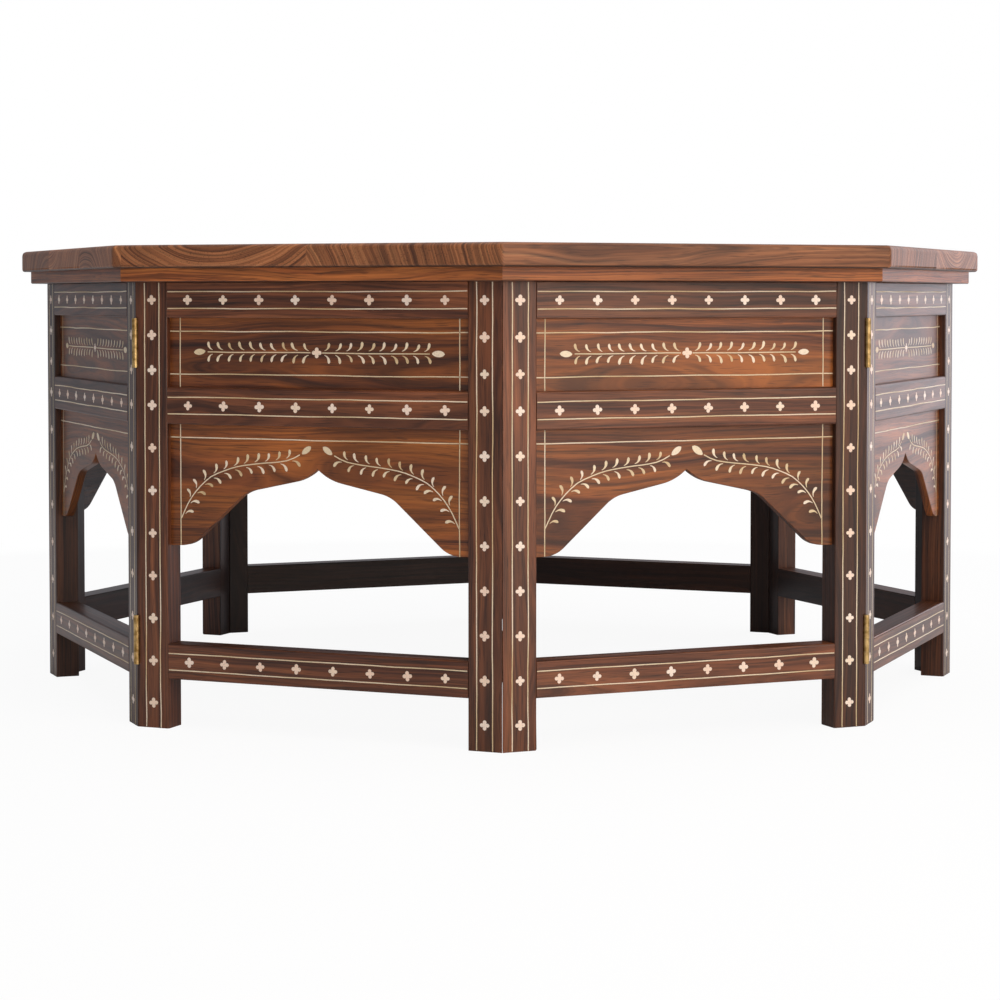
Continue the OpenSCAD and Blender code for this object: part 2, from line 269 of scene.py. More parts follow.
def studio_floor():
    """White card, matt and a little uneven in tone, lit until it looks nearly pure white.

    Near the table 7% of its shading shows, and less and less of it further out.
    """
    material, tree, shader = new_material("white_studio_card")
    place = add_node(tree, "ShaderNodeTexCoord").outputs["Object"]
    mottle = add_node(tree, "ShaderNodeTexNoise", {"Vector": place, "Scale": 3, "Detail": 2})
    colour = add_node(tree, "ShaderNodeValToRGB", {"Fac": mottle.outputs["Fac"]})
    fill_ramp(colour, [(0.3, "#f2f2f2"), (0.7, "#f5f5f5")])
    tree.links.new(colour.outputs["Color"], shader.inputs["Base Color"])
    shader.inputs["Roughness"].default_value = 0.9
    away = add_node(tree, "ShaderNodeVectorMath", {0: place}, operation="LENGTH").outputs["Value"]
    fade = add_node(tree, "ShaderNodeMapRange",
                    {"Value": away, "From Min": 0.55, "From Max": 1.6},
                    interpolation_type="SMOOTHSTEP").outputs[0]
    is_seen = add_node(tree, "ShaderNodeLightPath").outputs["Is Camera Ray"]
    most = add_node(tree, "ShaderNodeMath", {0: fade, 1: 0.93}, operation="MAXIMUM").outputs[0]
    amount = add_node(tree, "ShaderNodeMath", {0: most, 1: is_seen}, operation="MULTIPLY")
    white = add_node(tree, "ShaderNodeEmission", {"Color": paint("#ffffff"), "Strength": 1})
    both = add_node(tree, "ShaderNodeMixShader",
                    {0: amount.outputs[0], 1: shader.outputs[0], 2: white.outputs[0]})
    tree.links.new(both.outputs[0], tree.nodes["Material Output"].inputs["Surface"])
    return material


FRAME_WOOD = sheesham("dark_polished_sheesham", [
    (0.3, "#2f160b"), (0.42, "#4c2714"), (0.55, "#643820"), (0.75, "#7e4d2b")])
PANEL_WOOD = sheesham("red_brown_polished_sheesham", [
    (0.34, "#37180a"), (0.42, "#5c2e13"), (0.5, "#7e441c"), (0.62, "#925220"), (0.78, "#ab652e")],
    figure_mm=10)
TOP_WOOD = sheesham("golden_brown_polished_sheesham", [
    (0.3, "#4e2a19"), (0.42, "#754527"), (0.55, "#935c38"), (0.75, "#ac764a")],
    figure_mm=2.7, polish=0.46, coat=0.04)
UNDER_WOOD = sheesham("brown_oiled_sheesham", [
    (0.3, "#44200e"), (0.45, "#84461f"), (0.75, "#a8662f")], polish=0.48, coat=0.1)
BONE = camel_bone()
HINGE_BRASS = aged_brass("aged_sheet_brass", "#cfae76", "#80602f")
SCREW_BRASS = aged_brass("turned_screw_brass", "#d2b27c", "#886638")


# ---- wooden pieces ----

WIDEST_ARRIS = 5 * MM
LEAST_BEND = 0.4  # in radians: the faces at a rounded edge turn at least this much
SHARP_BEND = math.radians(35)


def pieces_of(mesh):
    """Which separate solid each vertex of a mesh belongs to, as numbers from 0."""
    ends = np.empty(2 * len(mesh.edges), int)
    mesh.edges.foreach_get("vertices", ends)
    ends = ends.reshape(-1, 2)
    label = np.arange(len(mesh.vertices))
    while True:
        lowest = label[ends].min(1)
        joined = label.copy()
        np.minimum.at(joined, ends[:, 0], lowest)
        np.minimum.at(joined, ends[:, 1], lowest)
        joined = joined[joined]
        if (joined == label).all():
            return np.unique(label, return_inverse=True)[1]
        label = joined


def points_of(mesh):
    """The places of a mesh's vertices, one to a row."""
    places = np.empty(3 * len(mesh.vertices))
    mesh.vertices.foreach_get("co", places)
    return places.reshape(-1, 3)


def merged_copy(node, place):
    """A copy of a CAD node in its leaf's own axes, its doubles merged and its flat faces whole."""
    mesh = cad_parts[node].data.copy()
    mesh.transform(place.inverted())
    if "custom_normal" in mesh.attributes:
        mesh.attributes.remove(mesh.attributes["custom_normal"])
    bm = bmesh.new()
    bm.from_mesh(mesh)
    bmesh.ops.remove_doubles(bm, verts=bm.verts, dist=2e-6)
    bmesh.ops.dissolve_limit(bm, angle_limit=math.radians(0.5), verts=bm.verts, edges=bm.edges)
    bm.to_mesh(mesh)
    bm.free()
    mesh.materials.clear()
    return mesh


def round_arrises(mesh, arris):
    """Rounds each convex edge by what arris(start, end, low, high) says, in metres.

    Low and high are the corners of the box of the solid that the edge belongs to.
    """
    label, places = pieces_of(mesh), points_of(mesh)
    boxes = [(places[label == i].min(0), places[label == i].max(0)) for i in range(label.max() + 1)]
    bm = bmesh.new()
    bm.from_mesh(mesh)
    weight = bm.edges.layers.float.new("bevel_weight_edge")
    for edge in bm.edges:
        if edge.is_manifold and edge.calc_face_angle_signed(0) > LEAST_BEND:
            start, end = (vert.co for vert in edge.verts)
            size = arris(start, end, *boxes[label[edge.verts[0].index]])
            edge[weight] = size / WIDEST_ARRIS
    bm.to_mesh(mesh)
    bm.free()
    holder = bpy.data.objects.new("holder", mesh)
    bpy.context.scene.collection.objects.link(holder)
    mesh.shade_smooth()
    mesh.set_sharp_from_angle(angle=SHARP_BEND)
    bevel = holder.modifiers.new("arrises", "BEVEL")
    bevel.width = WIDEST_ARRIS
    bevel.limit_method = "WEIGHT"
    bevel.segments = 3
    bevel.use_clamp_overlap = False
    bevel.harden_normals = True
    depsgraph = bpy.context.evaluated_depsgraph_get()
    rounded = bpy.data.meshes.new_from_object(holder.evaluated_get(depsgraph))
    bpy.data.objects.remove(holder)
    return rounded


def lay_grain(mesh, direction, seed, heart, inward, tones, picked=()):
    """Gives each solid of a mesh its own plank and tone, and marks its inner side for painted
    shade.

    direction(middle) is the way the grain runs in the solid with that middle. heart is how far
    off the heart of the tree lies, in metres along the second and third axis. inward is the
    direction of the sides that get painted shade. tones are the darkest and the lightest plank, on
    a scale where -2 is nearly black, 0 is plain and 2 is light, and picked gives the tone of each
    plank instead.
    """
    random = np.random.default_rng(seed)
    label, places = pieces_of(mesh), points_of(mesh)
    grain, tone = np.zeros_like(places), np.zeros(len(places))
    for i in range(label.max() + 1):
        chosen = label == i
        middle = (places[chosen].min(0) + places[chosen].max(0)) / 2
        along = np.array(direction(middle), float)
        depth = np.array(inward, float)
        side = np.cross(depth, along)
        axes = np.array([along, side, depth]).T
        start = [random.uniform(0, 40), *(random.uniform(-1, 1, 2) * 0.02 + heart
                                          * random.choice([-1, 1], 2))]
        grain[chosen] = (places[chosen] - middle) @ axes + start
        tone[chosen] = picked[i] if picked else random.uniform(*tones)
    mesh.attributes.new("grain", "FLOAT_VECTOR", "POINT").data.foreach_set("vector", grain.ravel())
    mesh.attributes.new("tone", "FLOAT", "POINT").data.foreach_set("value", tone)
    # A mask of the faces that look inward, which the wood darkens as painted shade.
    faces = [float(face.normal.dot(Vector(inward)) > 0.5) for face in mesh.polygons]
    mesh.attributes.new("inner", "FLOAT", "FACE").data.foreach_set("value", faces)


def show(name, mesh, material, body, slot, *nodes):
    """Makes a finished mesh a piece on a body, in place of the CAD nodes it stands for."""
    if material:
        mesh.materials.clear()
        mesh.materials.append(material)
    mesh.name = name
    piece = bpy.data.objects.new(name, mesh)
    bpy.context.scene.collection.objects.link(piece)
    if nodes:
        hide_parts(*nodes)
    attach(piece, body)


def near(a, b, reach=0.3 * MM):
    return abs(a - b) < reach


def runs_along(start, end, axis):
    return abs(end[axis] - start[axis]) > 0.98 * (end - start).length


def stile_arris(start, end, low, high):
    """Long edges are eased, the mitred ones least, and the foot's edges are broken."""
    if runs_along(start, end, 2) and (end - start).length > 8 * MM:
        if near(start.y, 0) and near(end.y, 0):
            bay_side = min(abs(low[0]), abs(high[0]))
            return 1.3 * MM if near(abs(start.x), bay_side) else 0.5 * MM
        if near(start.y, FRAME_T) and near(end.y, FRAME_T):
            return 0.9 * MM
    return 0


def rail_arris(start, end, low, high):
    """The middle rail's upper outer edge is rounded most, and it catches the light."""
    if not runs_along(start, end, 0):
        return 0
    if near(start.y, 0):
        is_middle = low[2] > 0.5 * LEAF_H and high[2] < 0.9 * LEAF_H
        if near(start.z, high[2]):
            return (2.6 if is_middle else 0.8 if high[2] > 0.9 * LEAF_H else 1.8) * MM
        return 1.3 * MM if near(start.z, low[2]) else 0
    if near(start.y, FRAME_T) and (near(start.z, high[2]) or near(start.z, low[2])):
        return 1 * MM
    return 0


def arch_arris(start, end, low, high):
    """Only the sawn arch is eased; the other edges are in the grooves."""
    on_face = near(start.y, low[1]) and near(end.y, low[1])
    in_groove = any(near(p.z, high[2]) or near(abs(p.x), high[0]) for p in (start, end))
    return 0.7 * MM if on_face and not in_groove else 0


def no_arris(start, end, low, high):
    return 0


def flats_met(point, flat):
    """How many sides of an octagon a point lies on, given from its middle to a flat."""
    angles = [i * 2 * HALF_TURN for i in range(SIDES)]
    return sum(near(point.x * math.cos(a) + point.y * math.sin(a), flat) for a in angles)


def top_arris(start, end, low, high):
    """The top's edge is rounded by hand above and below, and softened at the corners."""
    if not all(flats_met(point, TOP_FLAT) for point in (start, end, (start + end) / 2)):
        return 0
    if runs_along(start, end, 2):
        return 2.2 * MM if flats_met(start, TOP_FLAT) == 2 else 0
    return 4.8 * MM if near(start.z, high[2]) else 3 * MM


def under_arris(start, end, low, high):
    """The outer lower edge of the frame under the top is eased."""
    outer = all(flats_met(point, UNDER_FLAT) for point in (start, end, (start + end) / 2))
    return 1.5 * MM if outer and near(start.z, low[2]) and near(end.z, low[2]) else 0


def batten_arris(start, end, low, high):
    return 1.2 * MM if near(start.z, low[2]) and near(end.z, low[2]) else 0


INWARD = (0, 1, 0)  # in a leaf's own axes
DOWNWARD = (0, 0, -1)
# part, arris, way of the grain, place of the heart, range of tones, material, slot
LEAF_WOOD = [
    ("stiles", stile_arris, (0, 0, 1), (0.03, 0.06), (-0.7, 0.3), FRAME_WOOD, "frame_wood"),
    ("rails", rail_arris, (1, 0, 0), (0.03, 0.06), (0, 1), FRAME_WOOD, "frame_wood"),
    ("upper_panel", no_arris, (1, 0, 0), (0.02, 0.07), (-0.9, 0.1), PANEL_WOOD, "panel_wood"),
    ("arch_panel", arch_arris, (1, 0, 0), (0.02, 0.09), (-0.6, 0.4), PANEL_WOOD, "panel_wood"),
]
# The tones of boards that stand out: right and left stile, then top rail, middle rail, stretcher.
# Besides each board's own tone they hold painted light: the lighter boards of leaves 1 and 2
# stand in partly for painted sheen, and the darker stiles of leaf 3 and all of leaf 8 for painted
# shade.
BOARD_TONES_WITH_PAINTED_LIGHT = {
    "stiles_1": (0.6, 0.5), "rails_1": (1.9, 1.2, 0.8),
    "stiles_2": (-1.7, 1.5), "rails_2": (0.1, 1.4, 2), "upper_panel_2": (0.4,),
    "arch_panel_2": (-0.7,), "stiles_3": (-1.2, -1), "rails_3": (0.4, 0.2, 0.2),
    "stiles_8": (-1.6, -1.2), "rails_8": (-0.3, -0.5, -0.4), "upper_panel_8": (-1.1,),
    "arch_panel_8": (-1,),
}
for k in LEAVES:
    for number, (part, arris, way, heart, tones, material, slot) in enumerate(LEAF_WOOD):
        node = f"{part}_{k}"
        mesh = round_arrises(merged_copy(node, leaf_place(k)), arris)
        lay_grain(mesh, lambda middle: way, 100 * k + number, np.array(heart), INWARD, tones,
                  BOARD_TONES_WITH_PAINTED_LIGHT.get(node, ()))
        mesh.transform(leaf_place(k))
        show(f"sheesham_{node}", mesh, material, f"leaf_{k}", slot, node)

INLAY_PROUD = 0.08 * MM  # the bone stands this far out of the wood, which wears faster


def board_way(middle):
    return math.cos(BOARD_TURN), math.sin(BOARD_TURN), 0


def strip_way(middle):
    """A strip of the under frame runs along its side of the octagon."""
    turn = round(math.atan2(middle[1], middle[0]) / (2 * HALF_TURN)) * 2 * HALF_TURN
    return -math.sin(turn), math.cos(turn), 0


def batten_way(middle):
    return -math.sin(BOARD_TURN), math.cos(BOARD_TURN), 0


TOP_WOODWORK = [
    ("top_boards", top_arris, board_way, (0.05, 0.05), TOP_WOOD, "top_wood"),
    ("under_frame", under_arris, strip_way, (0.03, 0.05), UNDER_WOOD, "under_wood"),
    ("battens", batten_arris, batten_way, (0.03, 0.05), UNDER_WOOD, "under_wood"),
]
for number, (node, arris, way, heart, material, slot) in enumerate(TOP_WOODWORK):
    mesh = merged_copy(node, Matrix())
    if node == "top_boards":  # its face is sunk so that the bone ends at the table's height
        for vertex in mesh.vertices:
            if near(vertex.co.z, TOP_HIGH.z):
                vertex.co.z -= INLAY_PROUD
    mesh = round_arrises(mesh, arris)
    # The downward faces get the painted shade of the inner sides.
    lay_grain(mesh, way, 7 + number, np.array(heart), DOWNWARD, (-0.5, 1.3))
    show(f"sheesham_{node}", mesh, material, "top", slot, node)


# ---- bone inlay ----

FLOWER, LEFT_LEAF, RIGHT_LEAF, BUD = range(4)
LINE = -1
SHADES = {FLOWER: 0.84, LEFT_LEAF: 0.45, RIGHT_LEAF: 0.4, BUD: 0.4, LINE: 0.45}  # tan to pink


def inlay_tree():
    """Sets a cut piece of bone on each marked point, and stringing along each edge.

    A point's "kind" says which piece, and its "turn" how it lies. The face of the wood is at the
    points, with +z out of it.
    """
    tree = bpy.data.node_groups.new("bone_inlay", "GeometryNodeTree")
    sockets = tree.interface
    sockets.new_socket("Geometry", in_out="INPUT", socket_type="NodeSocketGeometry")
    sockets.new_socket("Geometry", in_out="OUTPUT", socket_type="NodeSocketGeometry")
    for label, value in [
            ("Flower Width", 9.1 * MM), ("Leaf Width", 2.6 * MM), ("Bud Length", 12 * MM),
            ("Bud Width", 5.7 * MM), ("Line Width", 1 * MM), ("Line Waver", 0.5 * MM),
            ("Bone Thickness", 0.6 * MM), ("Proud", INLAY_PROUD), ("Turn Jitter", 0.1),
            ("Size Jitter", 0.08)]:
        socket = sockets.new_socket(label, in_out="INPUT", socket_type="NodeSocketFloat")
        socket.default_value = value
    sockets.new_socket("Seed", in_out="INPUT", socket_type="NodeSocketInt")
    sockets.new_socket("Bone", in_out="INPUT", socket_type="NodeSocketMaterial")
    given = tree.nodes.new("NodeGroupInput").outputs

    def add(kind, inputs=(), **settings):
        return add_node(tree, kind, inputs, **settings)

    def math_node(operation, a, b=0.0):
        return add("ShaderNodeMath", {0: a, 1: b}, operation=operation).outputs[0]

    def sawn(face):
        """A flat face made a closed slip of bone, its upper side proud of the wood."""
        depth = add("ShaderNodeCombineXYZ", {"Z": given["Bone Thickness"]}).outputs[0]
        raised = add("GeometryNodeExtrudeMesh",
                     {"Mesh": face, "Offset": depth, "Individual": False})
        under = add("GeometryNodeFlipFaces", {"Mesh": face}).outputs[0]
        both = add("GeometryNodeJoinGeometry")
        tree.links.new(raised.outputs["Mesh"], both.inputs[0])
        tree.links.new(under, both.inputs[0])
        welded = add("GeometryNodeMergeByDistance",
                     {"Geometry": both.outputs[0], "Distance": 0.01 * MM}).outputs[0]
        sink = math_node("SUBTRACT", given["Proud"], given["Bone Thickness"])
        drop = add("ShaderNodeCombineXYZ", {"Z": sink}).outputs[0]
        return add("GeometryNodeTransform", {"Geometry": welded, "Translation": drop}).outputs[0]

    def blade(start, bend, end, width, outline):
        """A slip along a bent line, as wide at each place as the outline says."""
        line = add("GeometryNodeCurveQuadraticBezier",
                   {"Resolution": 12, "Start": start, "Middle": bend, "End": end}).outputs[0]
        sheet = add("GeometryNodeMeshGrid",
                    {"Size X": 1, "Size Y": 1, "Vertices X": 9, "Vertices Y": 3}).outputs["Mesh"]
        place = add("ShaderNodeSeparateXYZ", {0: add("GeometryNodeInputPosition").outputs[0]})
        share = math_node("ADD", place.outputs["X"], 0.5)
        on_line = add("GeometryNodeSampleCurve", {"Curves": line, "Factor": share}, mode="FACTOR")
        shape = add("ShaderNodeFloatCurve", {"Value": share})
        curve = shape.mapping.curves[0]
        for x, y in outline[1:-1]:
            curve.points.new(x, y)
        curve.points[0].location = outline[0]
        curve.points[-1].location = outline[-1]
        shape.mapping.update()
        aside = add("ShaderNodeVectorMath",
                    {0: (0, 0, 1), 1: on_line.outputs["Tangent"]}, operation="CROSS_PRODUCT")
        reach = math_node("MULTIPLY", math_node("MULTIPLY", place.outputs["Y"], width),
                          shape.outputs[0])
        shift = add("ShaderNodeVectorMath",
                    {0: aside.outputs[0], "Scale": reach}, operation="SCALE").outputs[0]
        bent = add("ShaderNodeVectorMath", {0: on_line.outputs["Position"], 1: shift}).outputs[0]
        return sawn(add("GeometryNodeSetPosition",
                        {"Geometry": sheet, "Position": bent}).outputs[0])

    def four_petals():
        """A disc drawn in between its four petals."""
        disc = add("GeometryNodeMeshCircle", {"Vertices": 40, "Radius": 1}, fill_type="NGON")
        place = add("GeometryNodeInputPosition").outputs[0]
        split = add("ShaderNodeSeparateXYZ", {0: place})
        angle = math_node("ARCTAN2", split.outputs["Y"], split.outputs["X"])
        petal = math_node("POWER", math_node("ABSOLUTE", math_node(
            "COSINE", math_node("MULTIPLY", angle, 2))), 0.8)
        reach = math_node("ADD", math_node("MULTIPLY", petal, 0.54), 0.46)
        half = math_node("MULTIPLY", math_node("MULTIPLY", reach, given["Flower Width"]), 0.5)
        out = add("ShaderNodeVectorMath", {0: place, "Scale": half}, operation="SCALE").outputs[0]
        return sawn(add("GeometryNodeSetPosition",
                        {"Geometry": disc.outputs["Mesh"], "Position": out}).outputs[0])

    def leaf(side):
        """A comma that leaves the stem to that side and swells to a round head."""
        return blade((0, side * 2 * MM, 0), (5.2 * MM, side * 3.4 * MM, 0),
                     (5 * MM, side * 9.2 * MM, 0), given["Leaf Width"],
                     [(0, 0.15), (0.3, 0.42), (0.6, 0.88), (0.8, 1), (0.93, 0.8), (1, 0.3)])

    half_bud = math_node("MULTIPLY", given["Bud Length"], 0.5)
    bud_end = add("ShaderNodeCombineXYZ", {"X": half_bud}).outputs[0]
    bud_start = add("ShaderNodeCombineXYZ", {"X": math_node("MULTIPLY", half_bud, -1)}).outputs[0]
    shapes = {
        FLOWER: four_petals(),
        LEFT_LEAF: leaf(1),
        RIGHT_LEAF: leaf(-1),
        BUD: blade(bud_start, (0, 0, 0), bud_end, given["Bud Width"],
                   [(0, 0.2), (0.15, 0.62), (0.4, 0.97), (0.55, 1), (0.8, 0.75), (1, 0.05)]),
    }

    kind = add("GeometryNodeInputNamedAttribute", {"Name": "kind"}, data_type="INT").outputs[0]
    turn = add("GeometryNodeInputNamedAttribute", {"Name": "turn"}, data_type="FLOAT").outputs[0]
    scale = add("GeometryNodeInputNamedAttribute", {"Name": "scale"}, data_type="FLOAT").outputs[0]

    def chance(low, high, salt):
        """A random number for each point."""
        seed = math_node("ADD", given["Seed"], salt)
        return add("FunctionNodeRandomValue", {2: low, 3: high, "Seed": seed},
                   data_type="FLOAT").outputs[1]

    wobble = math_node("MULTIPLY", chance(-1, 1, 0), given["Turn Jitter"])
    lie = add("ShaderNodeCombineXYZ", {"Z": math_node("ADD", turn, wobble)}).outputs[0]
    swell = math_node("ADD", math_node("MULTIPLY", chance(-1, 1, 40), given["Size Jitter"]), 1)
    grown = math_node("MULTIPLY", swell, scale)
    sized = add("ShaderNodeCombineXYZ", {"X": grown, "Y": grown, "Z": 1}).outputs[0]
    everything = add("GeometryNodeJoinGeometry")
    for number, shape in shapes.items():
        chosen = add("FunctionNodeCompare", {2: kind, 3: number},
                     data_type="INT", operation="EQUAL")
        placed = add("GeometryNodeInstanceOnPoints",
                     {"Points": given["Geometry"], "Selection": chosen.outputs[0],
                      "Instance": shape, "Rotation": lie, "Scale": sized})
        tree.links.new(placed.outputs[0], everything.inputs[0])
    shade = add("GeometryNodeInputNamedAttribute", {"Name": "shade"}, data_type="FLOAT").outputs[0]
    toned = add("GeometryNodeStoreNamedAttribute",
                {"Geometry": everything.outputs[0], "Name": "tone",
                 "Value": math_node("ADD", shade, chance(-0.22, 0.18, 80))},
                data_type="FLOAT", domain="INSTANCE")

    is_line = add("FunctionNodeCompare", {2: kind, 3: LINE}, data_type="INT", operation="EQUAL")
    strings = add("GeometryNodeMeshToCurve",
                  {"Mesh": given["Geometry"], "Selection": is_line.outputs[0]}).outputs[0]
    strings = add("GeometryNodeCurveSplineType", {"Curve": strings},
                  spline_type="CATMULL_ROM").outputs[0]
    strings = add("GeometryNodeResampleCurve", {"Curve": strings, "Length": 7 * MM},
                  mode="LENGTH").outputs[0]
    strings = add("GeometryNodeSetCurveNormal", {"Curve": strings}, mode="Z_UP").outputs[0]
    place = add("GeometryNodeInputPosition").outputs[0]
    # The grooves were cut by hand, so the lines wander a little in the plane of the face.
    hand = add("ShaderNodeTexNoise", {"Vector": place, "Scale": 16, "Detail": 2}).outputs["Color"]
    hand = add("ShaderNodeVectorMath", {0: hand, 1: (0.5, 0.5, 0.5)}, operation="SUBTRACT")
    hand = add("ShaderNodeVectorMath", {0: hand.outputs[0], 1: (4, 4, 0)}, operation="MULTIPLY")
    hand = add("ShaderNodeVectorMath",
               {0: hand.outputs[0], "Scale": given["Line Waver"]}, operation="SCALE").outputs[0]
    strings = add("GeometryNodeSetPosition", {"Geometry": strings, "Offset": hand}).outputs[0]
    uneven = add("ShaderNodeTexNoise", {"Vector": place, "Scale": 90, "Detail": 1}).outputs["Fac"]
    uneven = add("ShaderNodeMapRange",
                 {"Value": uneven, "From Min": 0.3, "From Max": 0.7, "To Min": 0.82,
                  "To Max": 1.12}).outputs[0]
    strings = add("GeometryNodeSetCurveRadius",
                  {"Curve": strings, "Radius": math_node("MULTIPLY", uneven, scale)}).outputs[0]
    section = add("GeometryNodeCurvePrimitiveQuadrilateral",
                  {"Width": given["Line Width"], "Height": given["Bone Thickness"]}).outputs[0]
    # The section's +y comes out downwards along a line.
    sink = math_node("SUBTRACT", math_node("MULTIPLY", given["Bone Thickness"], 0.5),
                     given["Proud"])
    section = add("GeometryNodeTransform",
                  {"Geometry": section,
                   "Translation": add("ShaderNodeCombineXYZ", {"Y": sink}).outputs[0]}).outputs[0]
    slips = add("GeometryNodeCurveToMesh",
                {"Curve": strings, "Profile Curve": section, "Fill Caps": True}).outputs[0]
    lengths = add("ShaderNodeTexNoise", {"Vector": place, "Scale": 14, "Detail": 0}).outputs["Fac"]
    lengths = add("ShaderNodeMapRange",
                  {"Value": lengths, "From Min": 0.3, "From Max": 0.7, "To Min": 0.2,
                   "To Max": 0.55}).outputs[0]
    slips = add("GeometryNodeStoreNamedAttribute",
                {"Geometry": slips, "Name": "tone", "Value": lengths},
                data_type="FLOAT", domain="POINT").outputs[0]

    real = add("GeometryNodeRealizeInstances", {"Geometry": toned.outputs[0]}).outputs[0]
    joined = add("GeometryNodeJoinGeometry")
    tree.links.new(real, joined.inputs[0])
    tree.links.new(slips, joined.inputs[0])
    finished = add("GeometryNodeSetMaterial",
                   {"Geometry": joined.outputs[0], "Material": given["Bone"]}).outputs[0]
    tree.links.new(finished, tree.nodes.new("NodeGroupOutput").inputs[0])
    return tree


def grow(tree, mesh, settings, place):
    """Runs a Geometry Nodes tree on a mesh and returns what it makes, put in its place."""
    holder = bpy.data.objects.new("holder", mesh)
    bpy.context.scene.collection.objects.link(holder)
    modifier = holder.modifiers.new("grow", "NODES")
    modifier.node_group = tree
    for item in tree.interface.items_tree:
        if item.in_out == "INPUT" and item.name in settings:
            modifier[item.identifier] = settings[item.name]
    depsgraph = bpy.context.evaluated_depsgraph_get()
    made = bpy.data.meshes.new_from_object(holder.evaluated_get(depsgraph))
    bpy.data.objects.remove(holder)
    made.transform(place)
    return made


class Drawing:
    """An inlay pattern: marked points for the cut pieces and edges for the stringing."""

    def __init__(self):
        self.points, self.edges, self.kinds, self.turns, self.scales = [], [], [], [], []

    def _point(self, place, kind, turn, scale):
        self.points.append([c * MM for c in place])
        self.kinds.append(kind)
        self.turns.append(turn)
        self.scales.append(scale)

    def mark(self, x, y, z, kind, turn=0.0):
        """One cut piece, its place in millimetres."""
        self._point((x, y, z), kind, turn, 1.0)

    def line(self, places, scale=1.0):
        """Stringing through those places."""
        first = len(self.points)
        for place in places:
            self._point(place, LINE, 0, scale)
        self.edges += [(i, i + 1) for i in range(first, len(self.points) - 1)]

    def mesh(self):
        made = bpy.data.meshes.new("drawing")
        made.from_pydata(self.points, self.edges, [])
        made.attributes.new("kind", "INT", "POINT").data.foreach_set("value", self.kinds)
        made.attributes.new("turn", "FLOAT", "POINT").data.foreach_set("value", self.turns)
        made.attributes.new("scale", "FLOAT", "POINT").data.foreach_set("value", self.scales)
        shades = [SHADES[kind] for kind in self.kinds]
        made.attributes.new("shade", "FLOAT", "POINT").data.foreach_set("value", shades)
        return made


def walk(places, distance):
    """The point and the heading at a distance along a bent line."""
    for (x0, y0), (x1, y1) in zip(places, places[1:]):
        length = math.hypot(x1 - x0, y1 - y0)
        if distance <= length or (x1, y1) == places[-1]:
            share = distance / length
            return x0 + share * (x1 - x0), y0 + share * (y1 - y0), math.atan2(y1 - y0, x1 - x0)
        distance -= length


def spray(drawing, stem, z, left_starts, right_starts):
    """A stem with comma leaves to its left and right, at distances along it."""
    drawing.line([(x, y, z) for x, y in stem], 0.8)
    for kind, starts in ((LEFT_LEAF, left_starts), (RIGHT_LEAF, right_starts)):
        for distance in starts:
            x, y, heading = walk(stem, distance)
            drawing.mark(x, y, z, kind, heading)


def steps(first, last, count):
    """That many numbers, evenly spaced from the first to the last."""
    return [first + (last - first) * i / (count - 1) for i in range(count)]


rail_mesh = merged_copy("rails_1", leaf_place(1))
rail_label, rail_points = pieces_of(rail_mesh), points_of(rail_mesh)
rail_heights = [rail_points[rail_label == i, 2] / MM for i in range(rail_label.max() + 1)]
RAILS = sorted((heights.min(), heights.max()) for heights in rail_heights)
STRETCHER, MIDDLE_RAIL, TOP_RAIL = RAILS
stile_mesh = merged_copy("stiles_1", leaf_place(1))
stile_points = points_of(stile_mesh)
BAY = stile_points[stile_points[:, 0] > 0, 0].min() / MM  # from a leaf's middle to a stile's edge


def middle_of(rail):
    return (rail[0] + rail[1]) / 2


BUD_RISE = math.radians(32.5)  # how far a bud at the arch's point is turned up
ABOVE_RAIL, BELOW_RAIL = 12.1, 12.4  # from a rail to the stringing beside it, on the panels
BESIDE_STILE = 10.5  # from a stile to the stringing beside it, on the panels
TOP_BANDS = 22, 38  # from the top's edge to its two bands of stringing
FLOWERS_ON_TOP = 10  # on each side of the octagon


